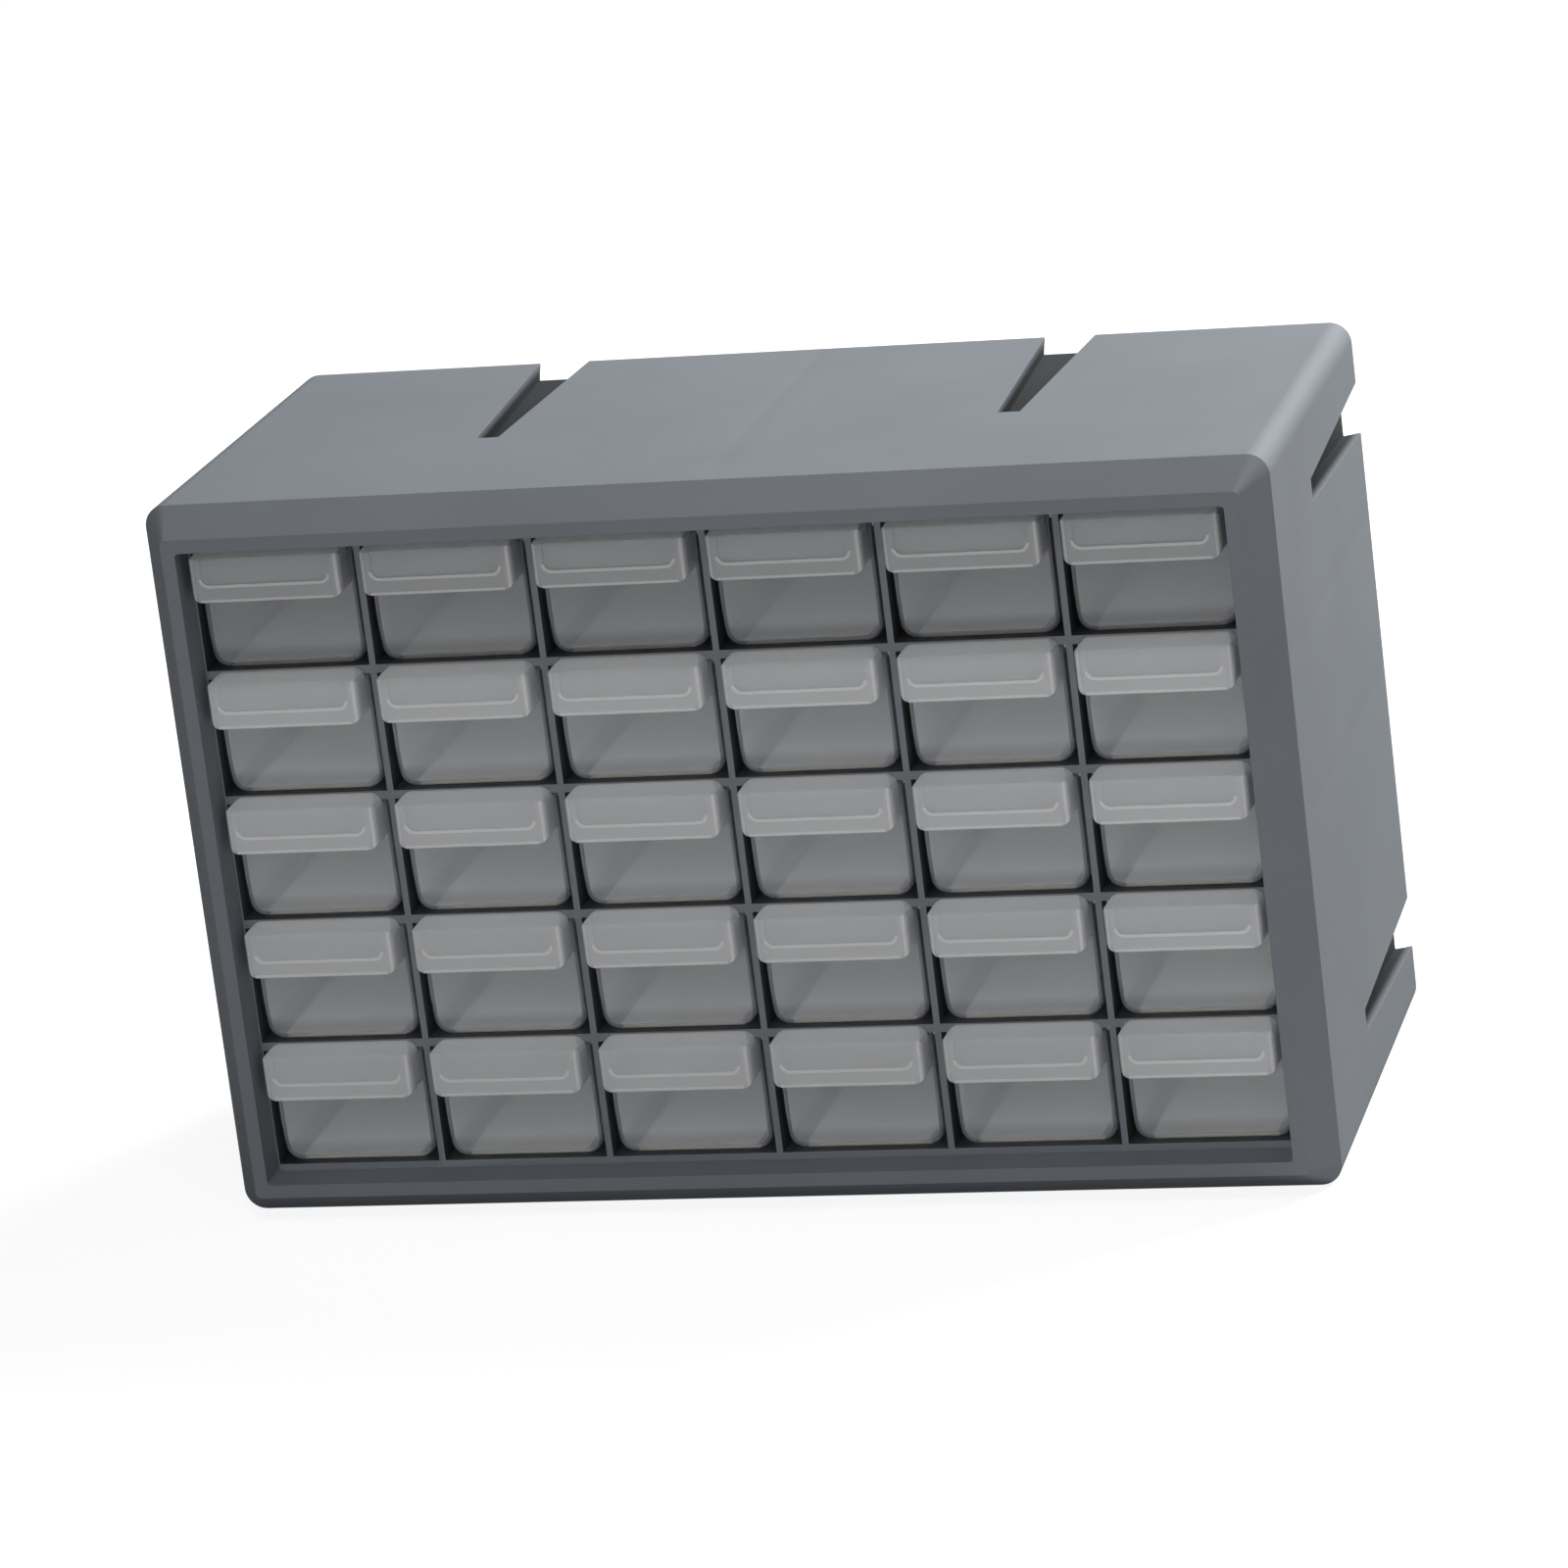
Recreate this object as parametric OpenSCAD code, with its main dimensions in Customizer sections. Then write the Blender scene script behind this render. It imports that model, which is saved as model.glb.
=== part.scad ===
// Small-parts drawer cabinet: a moulded casing with a grid of cells and thirty see-through drawers.
// X runs along the width, Z is up, and the front faces -Y. The origin is at the middle of the base.

/* [Casing] */
// Width of the casing across its widest line, just behind the front frame
body_w = 380; // [360:5:420]
// Height of the casing across the same line
body_h = 250; // [240:5:280]
// Depth of the casing from the front ring to the rear edge
body_d = 177; // [170:1:220]
// How far each side wall leans in from the front frame to the rear edge
side_draft = 3; // [0:0.5:4]
// How far the top and the underside lean in from the front frame to the rear edge
top_draft = 2.2; // [0:0.2:3]
// Radius of the four long corners
corner_r = 7.3; // [4:0.1:10]
// Thickness of the outer skin
skin_t = 2.2; // [1.6:0.1:2.6]
// Thickness of the inner walls round the cells
liner_t = 2; // [1.4:0.1:2.4]
// Thickness of the ribs that tie the skin to the inner walls
rib_t = 2; // [1.2:0.1:4]
// Distance from the middle rib of a side wall to the ribs above and below it
side_rib_pitch = 55; // [35:1:70]

/* [Front frame] */
// How far the sloped band of the frame leans in towards the front ring
slope_in = 8.6; // [6:0.1:9]
// Depth of that sloped band
slope_d = 13; // [8:0.5:13]
// Width of the flat front ring
ring_w = 4.7; // [4.5:0.1:6]
// Radius of the outer corners of the ring
ring_outer_r = 4; // [2:0.5:6]
// Radius of the inner corners of the ring
ring_inner_r = 3; // [1:0.5:3]
// How far the cells start behind the front ring
recess_d = 13.5; // [13.5:0.5:18]

/* [Cells] */
// Extra room between the outer columns of drawers and the inner walls
end_room = 0.5; // [0:0.1:3]
// Thickness of the upright dividers
divider_t = 2.2; // [1.4:0.1:3]
// Thickness of the shelves
shelf_t = 2.9; // [2:0.1:3.2]
// Height of the bottom row's floor above the lower inner wall
floor_rise = 2.45; // [1:0.05:4]
// Drop of the top row's ceiling below the upper inner wall
ceiling_drop = 3.85; // [1:0.05:6]

/* [Back] */
// Thickness of the back wall
back_t = 2.5; // [1.6:0.1:4]
// How far the back wall lies in from the rear edge
back_inset = 2; // [1:0.5:6]
// Diameter of the round end of the two wall-hanging keyholes
keyhole_d = 9; // [7:0.5:11]
// Width of the narrow end of a keyhole
keyhole_slot_w = 4.5; // [3:0.5:5]
// Length of the narrow end above the middle of the round end
keyhole_slot_l = 9; // [7:0.5:12]
// Height of the round ends above the shelf of the top row
keyhole_rise = 20; // [14:1:24]

/* [Coupling slots] */
// Width of a coupling slot at the surface, at its closed front end
slot_tip_w = 8; // [6:0.5:10]
// Angle at which each flank opens out towards the rear
slot_taper = 2.8; // [1:0.1:4]
// Angle at which each flank is cut under
slot_undercut = 8.5; // [4:0.5:12]
// Depth of a slot at the rear edge
slot_depth = 6; // [4:0.1:6.4]
// Distance from the front ring to the closed end of a slot
slot_start = 80; // [60:1:110]
// Wall left round a slot, below it and at its sides
slot_wall = 2; // [1.2:0.1:2.2]
// Distance of the slots in the top and the underside from the middle
slot_x = 90; // [60:1:120]
// Distance of the slots in the sides from half height
slot_z = 92.5; // [80:0.5:95]

/* [Base runners] */
// Width of the two level runners under the casing
runner_w = 6; // [4:0.5:12]
// Distance of the runners from the middle
runner_x = 150; // [125:1:165]
// Height of a runner, from the surface below to inside the skin
runner_h = 3; // [2.8:0.1:4]
// Distance from the front ring to the runners' front ends
runner_start = 27; // [20:1:60]

/* [Drawer tray] */
// Gap between the tray and the shelf that it slides on
tray_gap = 0.3; // [0.2:0.05:0.6]
// Gap between the tray and the shelf above it
top_gap = 1.2; // [0.5:0.1:3]
// Gap between the guide rim and the cell's side walls
rim_gap = 0.45; // [0.3:0.05:1]
// Gap between the tray's rear and the back wall
rear_gap = 6.5; // [1:0.5:30]
// How far the tray's front wall stands behind the front of the grid
front_set = 2.5; // [1.5:0.1:4]
// Wall thickness of the tray
tray_t = 1.4; // [1:0.1:1.8]
// Radius of the tray's long lower edges
tray_r = 5.5; // [3:0.5:8]
// Chamfer along the lower edge of the front wall
toe = 2.2; // [1:0.1:3]
// How far the guide rim stands out from the tray's sides
rim_out = 1.4; // [0.6:0.1:3]
// Thickness of the guide rim
rim_t = 1.4; // [1:0.1:2]

/* [Drawer pull] */
// Gap between the drawer's stop lip and the front of the grid
stop_gap = 0.3; // [0.2:0.05:0.6]
// Gap between the top of the stop lip and the level of the shelf above
lip_gap = 0.4; // [0.2:0.1:1]
// How far the pull's ends stand in from the tray's sides
pull_side = 0.3; // [0.1:0.1:2]
// How far the pull reaches in front of the grid
pull_out = 10.5; // [8:0.5:11.5]
// Height of the pull's front plate, from its lower edge to the fold
pull_h = 14.6; // [11:0.1:20]
// Height of the stop lip above the fold
hood_drop = 2; // [1:0.1:4]
// Wall thickness of the pull
pull_t = 1.4; // [1:0.1:1.8]
// Thickness of the bead along the pull's lower edge
bead_t = 2.1; // [1.8:0.1:3]
// Height of that bead
bead_h = 1.6; // [1:0.1:3]
// Radius of the pull's upright front corners
pull_corner_r = 3; // [1.5:0.5:4]
// Radius of the stop lip's upper corners
lip_corner_r = 4; // [1:0.5:6]
// Radius of the pull's lower corners
pull_low_r = 2; // [0.5:0.5:3]
// Depth of the label recess in the front plate
label_d = 0.6; // [0.3:0.1:0.8]
// Distance from the ends of the pull to the label recess
label_side = 4.5; // [3.5:0.5:8]
// Height of the ledge under the label recess above the pull's lower edge
label_rise = 5.9; // [4:0.1:7]
// Radius of the label recess's lower corners
label_r = 2.5; // [1:0.5:4]

/* [Hidden] */
rows = 5;
cols = 6;
shelf_nodes = [for (i = [1:rows - 1]) str("shelf_", i)];
divider_nodes = [for (j = [1:cols - 1]) str("divider_", j)];
drawer_nodes = [for (r = [1:rows], c = [1:cols]) str("drawer_r", r, "_c", c)];

round_fn = 48;
hull_fn = 32;
least_r = 1;
slice = 0.01;
over = 1;

// The opening inside the front ring, which the inner walls follow
rim_in = slope_in + ring_w;
inner_x = body_w / 2 - rim_in;
inner_z0 = rim_in;
inner_z1 = body_h - rim_in;

// The grid, which divides the opening evenly
col_pitch = (2 * (inner_x - end_room) + divider_t) / cols;
cell_w = col_pitch - divider_t;
floor_z = inner_z0 + floor_rise;
ceiling_z = inner_z1 - ceiling_drop;
row_pitch = (ceiling_z - floor_z + shelf_t) / rows;
cell_h = row_pitch - shelf_t;
back_y = body_d - back_inset - back_t;
grid_d = back_y - recess_d;

// The casing's walls, measured from its long axis: the rear edges of their outer faces, the outer
// faces of the inner walls, what clears the leaning walls above, and where slots and ribs stand
top_surface = body_h / 2 - top_draft;
side_surface = body_w / 2 - side_draft;
top_liner_at = body_h / 2 - inner_z0 + liner_t;
side_liner_at = inner_x + liner_t;
above = max(side_draft, top_draft) + over;
top_slots = [-slot_x, slot_x];
side_slots = [-slot_z, slot_z];
side_ribs = [-side_rib_pitch, 0, side_rib_pitch];

// The drawer, in its own frame: X from its middle, Y from the front ring, Z from its shelf
tray_w = cell_w - 2 * (rim_out + rim_gap);
tray_top = cell_h - top_gap;
face_y = recess_d + front_set;
tray_l = back_y - rear_gap - face_y;
pull_w = tray_w - 2 * pull_side;
plate_y = recess_d - pull_out;
lip_y = recess_d - stop_gap;
pull_top = row_pitch - lip_gap;
pull_fold = pull_top - hood_drop;
pull_low = pull_fold - pull_h;
label_z = pull_low + label_rise;

casing_grey = [0.48, 0.50, 0.51];
grid_grey = [0.42, 0.44, 0.45];
clear_plastic = [0.80, 0.82, 0.83, 0.55];

// Height of a row's shelf, with row 1 at the top
function shelf_top(r) = floor_z + (rows - r) * row_pitch;
// Middle of a column, with column 1 at the left
function col_x(c) = (c - (cols + 1) / 2) * col_pitch;

// Models are drawn from the front ring backwards, and this brings their middle to the origin
module from_front() {
    translate([0, -body_d / 2, 0]) children();
}

// A flat outline in X and Z, carried from y0 to y1
module along_y(y0, y1) {
    translate([0, y1, 0]) rotate([90, 0, 0]) linear_extrude(y1 - y0) children();
}

// A flat outline in Y and Z, carried from x0 to x1
module along_x(x0, x1) {
    translate([x0, 0, 0]) rotate([90, 0, 90]) linear_extrude(x1 - x0) children();
}

// A rectangle from x0, z0 to x1, z1 with its four corners rounded
module rounded(x0, z0, x1, z1, r) {
    translate([x0 + r, z0]) square([x1 - x0 - 2 * r, z1 - z0]);
    translate([x0, z0 + r]) square([x1 - x0, z1 - z0 - 2 * r]);
    for (x = [x0 + r, x1 - r], z = [z0 + r, z1 - r]) {
        translate([x, z]) circle(r, $fn = round_fn);
    }
}

// Four short corner posts of one slice through the casing
module corner_posts(y, in_x, in_z, r) {
    for (sx = [-1, 1], z = [in_z + r, body_h - in_z - r]) {
        translate([sx * (body_w / 2 - in_x - r), y + slice, z]) {
            rotate([90, 0, 0]) cylinder(h = slice, r = r, $fn = hull_fn);
        }
    }
}

// The casing's outer form: ring, sloped band, and walls that lean in to the rear
module outer_form() {
    hull() {
        corner_posts(0, slope_in, slope_in, ring_outer_r);
        corner_posts(slope_d, 0, 0, corner_r);
        corner_posts(body_d - slice, side_draft, top_draft, corner_r);
    }
}

// The same form, smaller by the skin all round, and run out past the rear edge
module inner_form() {
    ring_r = max(ring_outer_r - skin_t, least_r);
    r = max(corner_r - skin_t, least_r);
    lean = (body_d + over) / body_d;
    hull() {
        corner_posts(skin_t, slope_in + skin_t, slope_in + skin_t, ring_r);
        corner_posts(slope_d + skin_t / 2, skin_t, skin_t, r);
        corner_posts(body_d + over, skin_t + side_draft * lean, skin_t + top_draft * lean, r);
    }
}

// Half the width of the solid block that carries a slot
function slot_block_half() =
    slot_tip_w / 2 + (body_d - slot_start) * tan(slot_taper)
    + slot_depth * tan(slot_undercut) + slot_wall;

// One coupling slot, with its lip line at z = 0 and its closed end at y = 0.
// It is cut on upwards, because the leaning surface is higher towards the front.
module coupling_slot() {
    run = body_d - slot_start + over;
    wide = slot_block_half();
    intersection() {
        translate([-wide, 0, -slot_depth]) cube([2 * wide, run, slot_depth + above]);
        slot_flank(run, wide);
        mirror([1, 0, 0]) slot_flank(run, wide);
    }
}

// Everything on the inner side of one flank
module slot_flank(run, wide) {
    translate([slot_tip_w / 2, 0, 0]) rotate([0, -slot_undercut, -slot_taper]) {
        translate([-3 * wide, -run, -3 * wide]) cube([3 * wide, 3 * run, 6 * wide]);
    }
}

// The blocks for one wall's two slots, seen with that wall on top
module slot_blocks(surface, positions) {
    bottom = surface - slot_depth - slot_wall;
    for (p = positions) {
        translate([p - slot_block_half(), slot_start - slot_wall, bottom]) {
            cube([2 * slot_block_half(), body_d - slot_start + slot_wall, surface + above - bottom]);
        }
    }
}

// A wall's slice of the skin with its ribs and slots, drawn with that wall on top.
// turn brings the wall to the top, surface is the height of its rear edge there, liner_at is
// the outer face of its inner wall, and half_run is half the slice's width.
module skin_wall(turn, surface, slots_at, ribs_at, liner_at, half_run) {
    difference() {
        union() {
            intersection() {
                difference() {
                    rotate([0, turn, 0]) centred() outer_form();
                    rotate([0, turn, 0]) centred() inner_form();
                }
                translate([-half_run, recess_d, liner_at]) {
                    cube([2 * half_run, body_d, body_w]);
                }
            }
            intersection() {
                rotate([0, turn, 0]) centred() outer_form();
                union() {
                    slot_blocks(surface, slots_at);
                    ribs(ribs_at, liner_at, surface);
                }
            }
        }
        for (p = slots_at) {
            translate([p, slot_start, surface]) coupling_slot();
        }
    }
}

// Ribs between the inner wall and the skin
module ribs(rib_positions, liner_at, surface) {
    for (p = rib_positions) {
        translate([p - rib_t / 2, recess_d, liner_at]) {
            cube([rib_t, grid_d, surface + above - liner_at]);
        }
    }
}

// Lowers the casing until its long axis lies at z = 0, so that it can be turned about it
module centred() {
    translate([0, 0, -body_h / 2]) children();
}

module uncentred() {
    translate([0, 0, body_h / 2]) children();
}

module front_frame() {
    color(casing_grey) from_front() difference() {
        intersection() {
            outer_form();
            translate([-body_w / 2 - over, 0, -over]) {
                cube([body_w + 2 * over, recess_d, body_h + 2 * over]);
            }
        }
        along_y(-over, recess_d + over) {
            rounded(-inner_x, inner_z0, inner_x, inner_z1, ring_inner_r);
        }
        difference() {
            inner_form();
            along_y(0, recess_d + over) {
                rounded(-inner_x - liner_t, inner_z0 - liner_t, inner_x + liner_t,
                    inner_z1 + liner_t, ring_inner_r + liner_t);
            }
        }
    }
}

// The top and the underside take the rounded corners, and the side walls fit between them
module top_skin() {
    color(casing_grey) from_front() uncentred() {
        skin_wall(0, top_surface, top_slots, [0], top_liner_at, body_w);
    }
}

module bottom_skin() {
    color(casing_grey) from_front() {
        uncentred() rotate([0, 180, 0]) {
            skin_wall(180, top_surface, top_slots, [0], top_liner_at, body_w);
        }
        for (sx = [-1, 1]) {
            translate([sx * runner_x - runner_w / 2, runner_start, 0]) {
                cube([runner_w, back_y - runner_start, runner_h]);
            }
        }
    }
}

module left_skin() {
    color(casing_grey) from_front() uncentred() rotate([0, -90, 0]) {
        skin_wall(90, side_surface, side_slots, side_ribs, side_liner_at, top_liner_at);
    }
}

module right_skin() {
    color(casing_grey) from_front() uncentred() rotate([0, 90, 0]) {
        skin_wall(-90, side_surface, side_slots, side_ribs, side_liner_at, top_liner_at);
    }
}

// Inner walls, which carry on from the frame's return
module level_liner(z) {
    color(grid_grey) from_front() translate([-inner_x - liner_t, recess_d, z]) {
        cube([2 * (inner_x + liner_t), grid_d, liner_t]);
    }
}

module top_liner() level_liner(inner_z1);
module bottom_liner() level_liner(inner_z0 - liner_t);

module upright_liner(x) {
    color(grid_grey) from_front() translate([x, recess_d, inner_z0]) {
        cube([liner_t, grid_d, inner_z1 - inner_z0]);
    }
}

module left_liner() upright_liner(-inner_x - liner_t);
module right_liner() upright_liner(inner_x);

module keyhole() {
    circle(d = keyhole_d, $fn = round_fn);
    translate([-keyhole_slot_w / 2, 0]) square([keyhole_slot_w, keyhole_slot_l - keyhole_slot_w / 2]);
    translate([0, keyhole_slot_l - keyhole_slot_w / 2]) circle(d = keyhole_slot_w, $fn = round_fn);
}

module back_wall() {
    color(grid_grey) from_front() difference() {
        translate([-inner_x - liner_t, back_y, inner_z0 - liner_t]) {
            cube([2 * (inner_x + liner_t), back_t, inner_z1 - inner_z0 + 2 * liner_t]);
        }
        for (c = [1, cols]) {
            translate([col_x(c), 0, shelf_top(1) + keyhole_rise]) {
                along_y(back_y - over, back_y + back_t + over) keyhole();
            }
        }
    }
}

// Level plates across the whole inside
module level_plate(z, t) {
    color(grid_grey) from_front() translate([-inner_x, recess_d, z]) {
        cube([2 * inner_x, grid_d, t]);
    }
}

module floor_plate() level_plate(inner_z0, floor_rise);
module ceiling_plate() level_plate(ceiling_z, inner_z1 - ceiling_z);
module shelf(i) level_plate(shelf_top(i) - shelf_t, shelf_t);

// An upright divider, in one length for each row of cells
module divider(j) {
    x = (j - cols / 2) * col_pitch;
    color(grid_grey) from_front() for (r = [1:rows]) {
        translate([x - divider_t / 2, recess_d, shelf_top(r)]) cube([divider_t, grid_d, cell_h]);
    }
}

// Cross section of a tray: square at the top, rounded below
module tray_outline(w, z0, z1, r) {
    translate([-w / 2, z0 + r]) square([w, z1 - z0 - r]);
    translate([-w / 2 + r, z0]) square([w - 2 * r, z1 - z0]);
    for (sx = [-1, 1]) {
        translate([sx * (w / 2 - r), z0 + r]) circle(r, $fn = round_fn);
    }
}

module tray() {
    difference() {
        union() {
            along_y(face_y, face_y + tray_l) tray_outline(tray_w, tray_gap, tray_top, tray_r);
            guide_rim();
        }
        along_y(face_y + tray_t, face_y + tray_l - tray_t) {
            tray_outline(tray_w - 2 * tray_t, tray_gap + tray_t, tray_top + over, tray_r - tray_t);
        }
        toe_cut();
    }
}

// The rim runs inside the cell's side walls and keeps the tray straight
module guide_rim() {
    translate([-tray_w / 2 - rim_out, face_y + 2 * rim_t, tray_top - rim_t]) {
        cube([tray_w + 2 * rim_out, tray_l - 2 * rim_t, rim_t]);
    }
}

// Takes the lower edge off the front wall, so that the drawer slides in over the shelf's edge
module toe_cut() {
    along_x(-tray_w, tray_w) {
        polygon([
            [face_y - over, tray_gap - over],
            [face_y + toe + over, tray_gap - over],
            [face_y - over, tray_gap + toe + over]]);
    }
}

// Side view of the pull: neck, stop lip, sloped hood, front plate and bead
module pull_profile() {
    polygon([
        [face_y + tray_t, tray_top],
        [lip_y, tray_top],
        [lip_y, pull_top],
        [lip_y - pull_t, pull_top],
        [plate_y, pull_fold],
        [plate_y, pull_low],
        [plate_y + bead_t, pull_low],
        [plate_y + bead_t, pull_low + bead_h],
        [plate_y + pull_t, pull_low + 2 * bead_h],
        [plate_y + pull_t, pull_fold - pull_t],
        [lip_y - pull_t, pull_top - pull_t],
        [lip_y - pull_t, tray_top - pull_t],
        [face_y + tray_t, tray_top - pull_t]]);
}

// Side view of the pull's closed ends
module pull_end_profile() {
    polygon([
        [face_y + tray_t / 2, tray_top],
        [lip_y, tray_top],
        [lip_y, pull_top],
        [lip_y - pull_t, pull_top],
        [plate_y, pull_fold],
        [plate_y, pull_low],
        [face_y + tray_t / 2, pull_low]]);
}

// Front view of the pull: rounded at the stop lip and at the lower corners
module pull_front() {
    w = pull_w / 2;
    shoulder = pull_top - lip_corner_r;
    rounded(-w, pull_low, w, shoulder, pull_low_r);
    rounded(-w, shoulder - 2 * lip_corner_r, w, pull_top, lip_corner_r);
}

// Plan of the pull: rounded at its upright front corners
module pull_plan() {
    w = pull_w / 2;
    r = pull_corner_r;
    translate([-w, plate_y + r]) square([2 * w, face_y + tray_t - plate_y - r]);
    translate([-w + r, plate_y]) square([2 * (w - r), r + over]);
    for (sx = [-1, 1]) {
        translate([sx * (w - r), plate_y + r]) circle(r, $fn = round_fn);
    }
}

// Label recess, open at the fold and rounded at its lower corners
module label_cut() {
    w = pull_w / 2 - label_side;
    along_y(plate_y - over, plate_y + label_d) {
        rounded(-w, label_z, w, pull_fold + 2 * label_r, label_r);
    }
}

module pull() {
    w = pull_w / 2;
    difference() {
        intersection() {
            union() {
                along_x(-w, w) pull_profile();
                along_x(-w, -w + pull_t) pull_end_profile();
                along_x(w - pull_t, w) pull_end_profile();
            }
            along_y(0, face_y + tray_t) pull_front();
            linear_extrude(row_pitch) pull_plan();
        }
        label_cut();
    }
}

module drawer(r, c) {
    color(clear_plastic) from_front() translate([col_x(c), 0, shelf_top(r)]) {
        tray();
        pull();
    }
}

front_frame();
top_skin();
bottom_skin();
left_skin();
right_skin();
top_liner();
bottom_liner();
left_liner();
right_liner();
back_wall();
floor_plate();
ceiling_plate();
for (i = [1:rows - 1]) {
    shelf(i);
}
for (j = [1:cols - 1]) {
    divider(j);
}
for (r = [1:rows], c = [1:cols]) {
    drawer(r, c);
}
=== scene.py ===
import math

import bpy
from mathutils import Matrix, Vector


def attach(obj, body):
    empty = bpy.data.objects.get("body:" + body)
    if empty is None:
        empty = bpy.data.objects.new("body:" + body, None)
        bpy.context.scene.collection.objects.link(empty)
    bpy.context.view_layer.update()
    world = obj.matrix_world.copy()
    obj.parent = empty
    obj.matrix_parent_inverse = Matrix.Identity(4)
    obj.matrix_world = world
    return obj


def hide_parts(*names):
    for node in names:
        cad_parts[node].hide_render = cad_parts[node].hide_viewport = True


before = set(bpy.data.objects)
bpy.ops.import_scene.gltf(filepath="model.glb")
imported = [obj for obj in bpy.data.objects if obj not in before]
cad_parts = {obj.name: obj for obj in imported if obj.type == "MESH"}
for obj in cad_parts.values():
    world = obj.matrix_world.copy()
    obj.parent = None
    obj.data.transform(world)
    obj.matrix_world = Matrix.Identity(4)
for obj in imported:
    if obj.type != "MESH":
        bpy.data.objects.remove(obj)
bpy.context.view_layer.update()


# The casing's shell: the outer walls, the sloped front frame, its flat ring and the return behind it.
# It is one injection moulding in satin grey polystyrene, with drafted walls and eight coupling slots.
# Every piece is drawn in mm, with y from the front ring backwards, and settled in the frame at its end.
BODY_W = 380.0
BODY_H = 250.0
BODY_D = 177.0
SIDE_LEAN = 3.0
TOP_LEAN = 2.2
CORNER_R = 7.3
SKIN = 2.2
LINER = 2.0
LINER_R = 2.4
SLOPE_IN = 8.6
SLOPE_D = 13.0
RING_W = 4.7
RING_OUTER_R = 1.6
RING_INNER_R = 1.4
CAVITY_FRONT = 15.0
SKIN_FRONT = CAVITY_FRONT - 0.5
INNER_X = BODY_W / 2 - SLOPE_IN - RING_W
INNER_LOW = SLOPE_IN + RING_W
INNER_HIGH = BODY_H - INNER_LOW

SLOT_START = 80.0
SLOT_TIP = 8.0
SLOT_TAPER = math.radians(2.8)
SLOT_UNDERCUT = math.radians(8.5)
SLOT_DEEP = 6.0
SLOT_WALL = 2.0
SLOT_WALL_LOW = 0.3
SLOT_WALL_END = BODY_D - 0.4
SLOT_CUT_ABOVE = 4.0
SLOT_CUT_END = BODY_D + 3.0
SLOT_RIM = 0.4
TOP_SLOT_X = 90.0
SIDE_SLOT_Z = 92.5

# Two places less than this apart count as one.
CLOSE = 0.1


def pick(obj, kind, test):
    """Opens edit mode with those vertices, edges or faces selected whose index and middle pass the test."""
    bpy.context.view_layer.objects.active = obj
    bpy.ops.object.mode_set(mode="EDIT")
    bpy.ops.mesh.select_mode(type=kind)
    bpy.ops.mesh.select_all(action="DESELECT")
    bpy.ops.object.mode_set(mode="OBJECT")
    mesh = obj.data
    if kind == "VERT":
        for v in mesh.vertices:
            v.select = test(v.index, v.co)
    else:
        for item in mesh.edges if kind == "EDGE" else mesh.polygons:
            middle = sum((mesh.vertices[i].co for i in item.vertices), Vector()) / len(item.vertices)
            item.select = test(item.index, middle)
    bpy.ops.object.mode_set(mode="EDIT")


def everything(i, p):
    return True


def done():
    """Leaves edit mode."""
    bpy.ops.object.mode_set(mode="OBJECT")


def alone(obj):
    """Makes the piece the only one selected, and the active one."""
    bpy.ops.object.select_all(action="DESELECT")
    obj.select_set(True)
    bpy.context.view_layer.objects.active = obj


def apply_place():
    """Puts the place, turn and size of the selected piece into its mesh."""
    bpy.ops.object.transform_apply(location=True, rotation=True, scale=True)


def block(name, low, high):
    """A box from its lowest to its highest corner."""
    bpy.ops.object.select_all(action="DESELECT")
    bpy.ops.mesh.primitive_cube_add(size=1, location=[(a + b) / 2 for a, b in zip(low, high)])
    made = bpy.context.object
    made.name = name
    made.scale = [b - a for a, b in zip(low, high)]
    apply_place()
    return made


def joined(first, *others):
    """The pieces as one, under the first one's name."""
    alone(first)
    for other in others:
        other.select_set(True)
    bpy.ops.object.join()
    return first


def carve(obj, tool, operation="DIFFERENCE"):
    """Cuts the tool out of the piece, adds it or keeps what both share, and takes the tool away."""
    alone(obj)
    cut = obj.modifiers.new("cut", "BOOLEAN")
    cut.operation = operation
    cut.solver = "EXACT"
    cut.object = tool
    bpy.ops.object.modifier_apply(modifier=cut.name)
    bpy.data.objects.remove(tool)


def round_rectangle(y, half_w, low, high, radius):
    """An upright rectangle of edges at depth y, with rounded corners."""
    bpy.ops.object.select_all(action="DESELECT")
    bpy.ops.mesh.primitive_plane_add(size=1, location=(0, y, (low + high) / 2), rotation=(math.pi / 2, 0, 0))
    made = bpy.context.object
    made.scale = (2 * half_w, high - low, 1)
    apply_place()
    pick(made, "VERT", everything)
    bpy.ops.mesh.bevel(offset=radius, segments=8, affect="VERTICES")
    bpy.ops.mesh.select_all(action="SELECT")
    bpy.ops.mesh.delete(type="ONLY_FACE")
    done()
    return made


def bridged(name, sections):
    """A closed skin drawn over rounded rectangles, from each to the next and from the last to the first."""
    made = round_rectangle(*sections[0])
    made.name = name
    count = len(made.data.vertices)
    for n, section in enumerate(sections[1:], start=1):
        joined(made, round_rectangle(*section))
        pick(made, "VERT", lambda i, p: (n - 1) * count <= i < (n + 1) * count)
        bpy.ops.mesh.bridge_edge_loops()
        done()
    last = len(sections) - 1
    pick(made, "VERT", lambda i, p: i < count or i >= last * count)
    bpy.ops.mesh.bridge_edge_loops()
    bpy.ops.mesh.select_all(action="SELECT")
    bpy.ops.mesh.normals_make_consistent(inside=False)
    done()
    return made


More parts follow.
